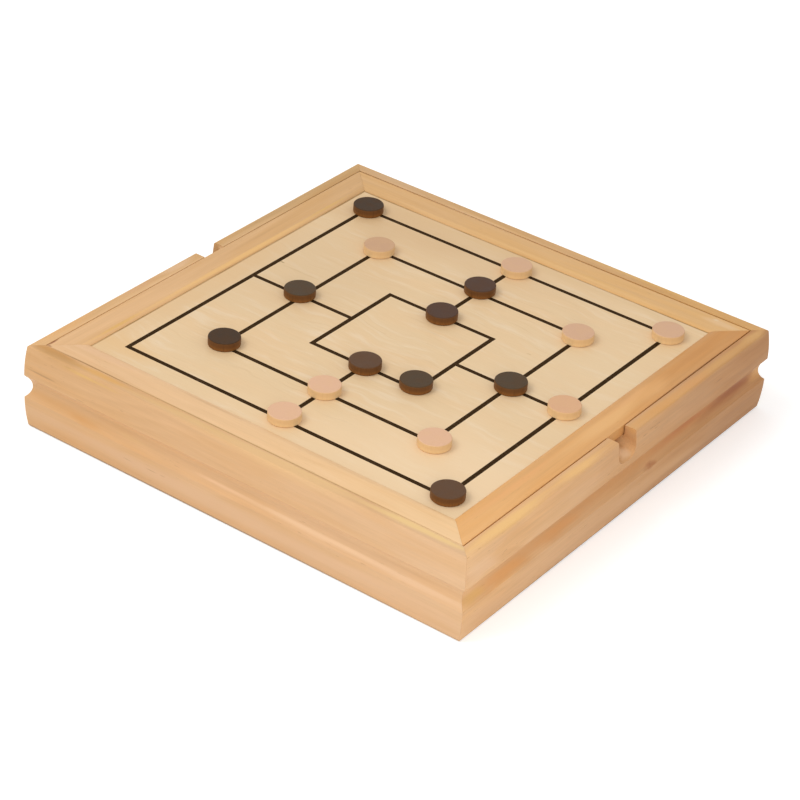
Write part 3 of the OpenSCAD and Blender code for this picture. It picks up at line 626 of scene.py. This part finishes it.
def dress_boards():
    """The lift-out board with its frame, lines and squares, and the board below it."""
    panel = plywood(
        "board_plywood", ((0.775, 0.56, 0.325), (0.59, 0.38, 0.18), (0.79, 0.55, 0.31)), 6,
        border=True,
        marks=[
            # Broad marks, lighter towards the front and right and darker towards the back and left:
            # partly wood tone and partly a painted fall of light, with shade near the mouldings
            ((-95, 20, panel_top), (150, 160), 0.5, (0.69, 0.49, 0.28)),
            ((95, 20, panel_top), (130, 180), 0.4, (0.80, 0.60, 0.37)),
            ((-10, 100, panel_top), (170, 60), 0.5, (0.72, 0.505, 0.29)),
            ((95, -95, panel_top), (190, 120), 0.7, (0.86, 0.635, 0.395)),
            ((10, -110, panel_top), (140, 50), 0.5, (0.83, 0.59, 0.345)),
            ((-75, 101, panel_top), (140, 66), 0.75, (0.685, 0.455, 0.24)),
            ((0, 119, panel_top), (250, 14), 0.5, (0.70, 0.475, 0.25)),
            ((-119, -30, panel_top), (22, 230), 0.6, (0.735, 0.485, 0.25)),
            ((-112, -114, panel_top), (60, 30), 0.6, (0.77, 0.495, 0.235)),
            ((-105.3, 20.5, panel_top), (4.5, 1.3), 0.85, (0.28, 0.18, 0.07)),
            ((-90, 18.5, panel_top), (34, 2), 0.3, (0.58, 0.40, 0.20)),
            ((-31.6, 48.2, panel_top), (46, 4), 0.4, (0.82, 0.62, 0.39)),
            ((60, 34, panel_top), (4, 1.2), 0.5, (0.55, 0.37, 0.18)),
        ])
    dress("morris_panel", panel)
    second = plywood(
        "second_plywood", ((0.74, 0.54, 0.31), (0.54, 0.34, 0.16), (0.78, 0.55, 0.31)), 7)
    dress("backgammon_panel", second)
    dress("morris_lines", ink("line_ink", (0.038, 0.019, 0.006)))
    dark = wood("dark_veneer", ((0.12, 0.06, 0.03), (0.05, 0.022, 0.01), (0.15, 0.07, 0.03)), "y", 8,
                rings=0.5, ring_w=2.6)
    light = wood("light_veneer", ((0.50, 0.27, 0.11), (0.32, 0.15, 0.06), (0.55, 0.28, 0.1)), "y", 10,
                 rings=0.4, ring_w=2.6)
    dress("chess_squares", dark)
    dress("backgammon_dark_points", dark)
    dress("backgammon_light_points", light)
    # Tones, grain, seed, tone at the far end and marks of each frame strip
    strips = {
        "front": (((0.765, 0.48, 0.255), (0.56, 0.32, 0.13), (0.76, 0.455, 0.225)),
                  "x", 11, (0.85, 0.565, 0.30), [
                      # Painted shadow along the foot of the moulding, next to the panel
                      ((-34, -126, 51.5), (60, 2.4), 0.45, (0.52, 0.31, 0.15)),
                      ((60, -126.5, 51.5), (70, 1.6), 0.3, (0.60, 0.36, 0.17)),
                      ((-110, -128, 51.8), (60, 7), 0.4, (0.74, 0.47, 0.29)),
                      ((20, -126, 53), (300, 5), 0.45, (0.69, 0.44, 0.235)),
                      # Painted shadow in the gap between the strip and the wall's rim, and in its
                      # corner
                      ((0, -140.2, 52), (340, 1.6), 0.85, (0.47, 0.28, 0.11)),
                      ((-108, -140.2, 52), (70, 1.8), 0.8, (0.36, 0.19, 0.07)),
                      ((-139, -139.6, 52), (5, 1.6), 0.85, (0.30, 0.13, 0.05)),
                  ]),
        "right": (((0.79, 0.43, 0.165), (0.56, 0.27, 0.08), (0.80, 0.41, 0.14)),
                  "y", 12, (0.585, 0.285, 0.095), [
                      ((129, -85, 51.8), (110, 6), 0.5, (0.80, 0.40, 0.155)),
                      ((131, 0, 51.9), (100, 12), 0.8, (0.80, 0.46, 0.19)),
                      ((126, 0, 53), (300, 5), 0.45, (0.60, 0.32, 0.12)),
                      # Painted shadow in the gap between the strip and the wall's rim
                      ((139.6, -70, 52), (130, 0.8), 0.5, (0.52, 0.29, 0.10)),
                      ((139.6, 72, 52), (130, 1.0), 0.7, (0.30, 0.13, 0.04)),
                      ((128, 30, 51.8), (50, 5), 0.5, (0.78, 0.42, 0.18)),
                      ((131, 46, 51.9), (44, 14), 0.5, (0.79, 0.43, 0.17)),
                      ((130, 95, 51.8), (70, 8), 0.4, (0.56, 0.26, 0.085)),
                  ]),
        "back": (((0.68, 0.405, 0.178), (0.50, 0.27, 0.1), (0.70, 0.405, 0.16)),
                 "x", 13, (0.725, 0.435, 0.185), [
                     ((124, 134.5, 51.8), (30, 9), 0.8, (0.76, 0.50, 0.27)),
                     ((119.5, 136.3, 51.9), (4.5, 3), 0.6, (0.80, 0.60, 0.38)),
                     ((50, 127, 51.5), (90, 4), 0.4, (0.74, 0.44, 0.15)),
                     # Painted highlight along the foot of the moulding
                     ((0, 125.5, 51.3), (280, 4), 0.6, (0.79, 0.48, 0.20)),
                 ]),
        "left": (((0.757, 0.46, 0.228), (0.54, 0.30, 0.12), (0.74, 0.435, 0.195)),
                 "y", 14, (0.65, 0.385, 0.17), [
                     # Painted highlight along the foot of the moulding
                     ((-125.5, 0, 51.3), (280, 4), 0.8, (0.83, 0.50, 0.19)),
                     # Painted shadow in the gap's corner
                     ((-139.9, -136, 52), (12, 1.8), 0.9, (0.32, 0.10, 0.04)),
                     ((-126, -98, 51.5), (56, 3), 0.7, (0.72, 0.42, 0.12)),
                     ((-126, 88, 51.5), (66, 2.6), 0.6, (0.68, 0.41, 0.12)),
                     ((-133, 20, 51.9), (80, 3), 0.4, (0.58, 0.33, 0.14)),
                 ]),
    }
    for side, (tones, grain, seed, far_tone, marks) in strips.items():
        material = wood(side + "_strip_wood", tones, grain, seed,
                        flecks=0.3, marks=marks, far_tone=far_tone)
        dress("board_frame_" + side, material, PLANK_EDGE)


def dress_counters():
    """The counters on the board, each with a wood of its own, and the spare ones."""
    for shade, look in COUNTERS.items():
        tops, side = look["tops"], look["side"]
        for number, top in enumerate(look["top_of_each"], 1):
            name = f"{shade}_counter_{number}"
            seed = look["first_seed"] + number
            dress(name, turned_wood(name + "_wood", tops[top], side, look["foot"], seed,
                                    *look["finish"]))
        spare = turned_wood(f"spare_{shade}_wood", tops[look["spare_top"]], side, side,
                            look["spare_seed"], *look["finish"])
        dress(f"spare_{shade}_counters", spare)


def dress_men():
    """The chessmen, polished more than the box."""
    dark = wood("dark_chess_wood", ((0.10, 0.042, 0.016), (0.04, 0.016, 0.008), (0.14, 0.055, 0.018)),
                "x", 15, rings=0.5, ring_w=1.8, roughness=0.32, coat=0.3)
    light = wood("light_chess_wood", ((0.72, 0.48, 0.25), (0.50, 0.29, 0.12), (0.76, 0.48, 0.22)),
                 "x", 16, rings=0.35, ring_w=1.8, roughness=0.36, coat=0.25)
    for man in ("king", "queen", "bishops", "knights", "rooks", "pawns"):
        dress("dark_" + man, dark, CHESSMAN_EDGE)
        dress("light_" + man, light, CHESSMAN_EDGE)


def dress_dominoes_and_dice():
    tiles = wood("domino_black", ((0.030, 0.022, 0.018), (0.015, 0.010, 0.008), (0.04, 0.026, 0.02)),
                 "x", 17, rings=0.4, ring_w=2.0, roughness=0.36, coat=0.2)
    dress("domino_tiles", tiles, DOMINO_EDGE)
    dress("domino_marks", plastic("pip_ivory", IVORY, 0.45, 0.0))
    dress("dice", plastic("die_ivory", IVORY, 0.25, 0.4), DIE_EDGE)
    dress("dice_pips", plastic("pip_black", (0.02, 0.018, 0.016), 0.4, 0.0))


def seen_by(tree, *rays):
    """1 for the named kinds of rays, which look at things, and 0 for those that light."""
    path = tree.nodes.new("ShaderNodeLightPath")
    seen = path.outputs[rays[0]]
    for ray in rays[1:]:
        either = tree.nodes.new("ShaderNodeMath")
        either.operation = "MAXIMUM"
        tree.links.new(seen, either.inputs[0])
        tree.links.new(path.outputs[ray], either.inputs[1])
        seen = either.outputs[0]
    return seen


def make_floor():
    """A wide white floor that keeps the object's shadow."""
    mesh = bpy.data.meshes.new("floor")
    sides = ((-1, -1), (1, -1), (1, 1), (-1, 1))
    corners = [(x * FLOOR_HALF, y * FLOOR_HALF, 0) for x, y in sides]
    mesh.from_pydata(corners, [], [(0, 1, 2, 3)])
    floor = bpy.data.objects.new("floor", mesh)
    bpy.context.scene.collection.objects.link(floor)

    material = bpy.data.materials.new("floor_white")
    material.use_nodes = True
    tree = material.node_tree
    tree.nodes.clear()
    plain = tree.nodes.new("ShaderNodeBsdfDiffuse")
    plain.inputs["Color"].default_value = colour((FLOOR_TONE,) * 3)
    lift = tree.nodes.new("ShaderNodeEmission")
    seen = seen_by(tree, "Is Camera Ray", "Is Glossy Ray")
    amount = tree.nodes.new("ShaderNodeMath")
    amount.operation = "MULTIPLY"
    amount.inputs[1].default_value = FLOOR_LIFT
    tree.links.new(seen, amount.inputs[0])
    tree.links.new(amount.outputs[0], lift.inputs["Strength"])
    total = tree.nodes.new("ShaderNodeAddShader")
    tree.links.new(plain.outputs[0], total.inputs[0])
    tree.links.new(lift.outputs[0], total.inputs[1])
    output = tree.nodes.new("ShaderNodeOutputMaterial")
    tree.links.new(total.outputs[0], output.inputs[0])
    mesh.materials.append(material)


def make_sky():
    """White where it is seen, and a little weaker where it lights the object."""
    world = bpy.data.worlds.new("sky")
    bpy.context.scene.world = world
    world.use_nodes = True
    tree = world.node_tree
    background = tree.nodes["Background"]
    background.inputs["Color"].default_value = colour(WHITE)
    seen = seen_by(tree, "Is Camera Ray", "Is Glossy Ray", "Is Transmission Ray")
    level = tree.nodes.new("ShaderNodeMapRange")
    level.inputs["To Min"].default_value = SKY_ON_OBJECT
    level.inputs["To Max"].default_value = SKY_SEEN
    tree.links.new(seen, level.inputs["Value"])
    tree.links.new(level.outputs["Result"], background.inputs["Strength"])


def make_lamps():
    for index, (place, size, power) in enumerate(LAMPS):
        data = bpy.data.lights.new(f"soft_lamp_{index}", "AREA")
        data.shape = "SQUARE"
        data.size = size
        data.energy = power
        lamp = bpy.data.objects.new(f"soft_lamp_{index}", data)
        lamp.location = Vector(place)
        lamp.rotation_mode = "QUATERNION"
        lamp.rotation_quaternion = (Vector(place) - Vector(LAMPS_AIM)).to_track_quat("Z", "Y")
        lamp.visible_glossy = False
        bpy.context.scene.collection.objects.link(lamp)


def make_camera():
    data = bpy.data.cameras.new("camera")
    data.sensor_width = CAMERA_SENSOR
    data.lens = CAMERA_LENS
    camera = bpy.data.objects.new("camera", data)
    bpy.context.scene.collection.objects.link(camera)
    place = Vector(CAMERA_PLACE)
    camera.location = place
    camera.rotation_mode = "QUATERNION"
    upright = (Vector(CAMERA_AIM) - place).to_track_quat("-Z", "Y")
    camera.rotation_quaternion = upright @ Quaternion((0, 0, 1), CAMERA_ROLL)
    bpy.context.scene.camera = camera


make_camera()
make_sky()
make_lamps()
make_floor()
dress_walls()
dress_trays()
dress_boards()
dress_counters()
dress_men()
dress_dominoes_and_dice()
bpy.context.scene.view_settings.view_transform = "Standard"

bpy.context.view_layer.update()
